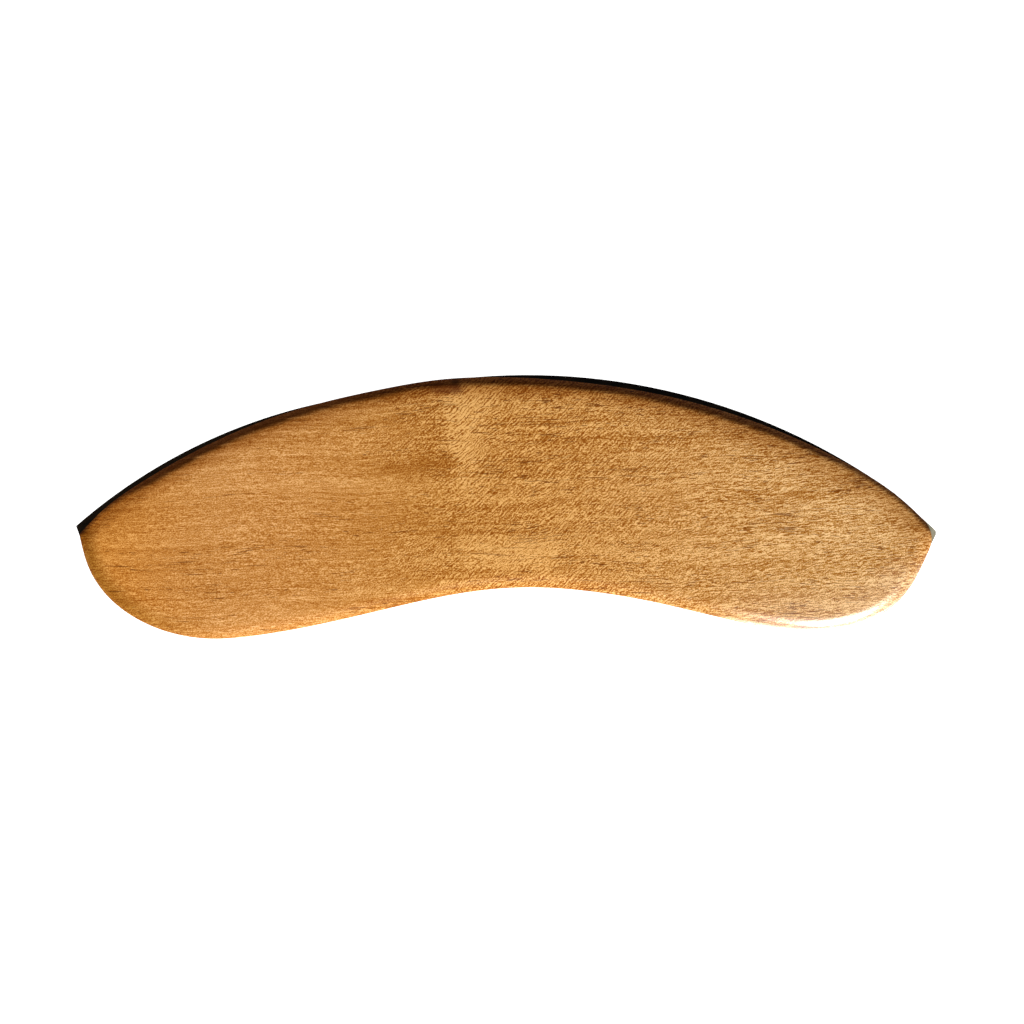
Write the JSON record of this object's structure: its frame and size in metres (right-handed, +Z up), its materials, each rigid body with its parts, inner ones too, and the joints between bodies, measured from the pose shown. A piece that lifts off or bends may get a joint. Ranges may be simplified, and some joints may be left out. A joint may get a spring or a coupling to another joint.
{
  "type": "guitar arm rest",
  "caption": "Boomerang-shaped wooden arm rest that sticks along a guitar's lower bout, on a narrow foot taped down with black foam tape that still has its release film.",
  "frame": {"origin": "under the middle of the whole piece, on the surface that the release films lie on", "axes": "+X along the board towards its rounder corner, +Y towards the convex edge, +Z up through the board"},
  "size_m": [0.2302, 0.0706, 0.0126],
  "materials": {
    "hardwood": "clear gloss varnish over figured golden-brown hardwood",
    "foam_tape": "matt closed-cell foam",
    "release_film": "thin translucent film"
  },
  "bodies": {
    "rest": {"rest_body": "hardwood", "foam_strip_left": "foam_tape", "foam_strip_right": "foam_tape"},
    "left_film": {"liner_left": "release_film"},
    "right_film": {"liner_right": "release_film"}
  },
  "joints": [
    {"name": "left_film_peel", "type": "slide", "parent": "rest", "child": "left_film", "axis": [-0.3504, 0.9366, 0], "range_m": [0, 0.03]},
    {"name": "right_film_peel", "type": "slide", "parent": "rest", "child": "right_film", "axis": [0.2393, 0.9709, 0], "range_m": [0, 0.03]}
  ]
}
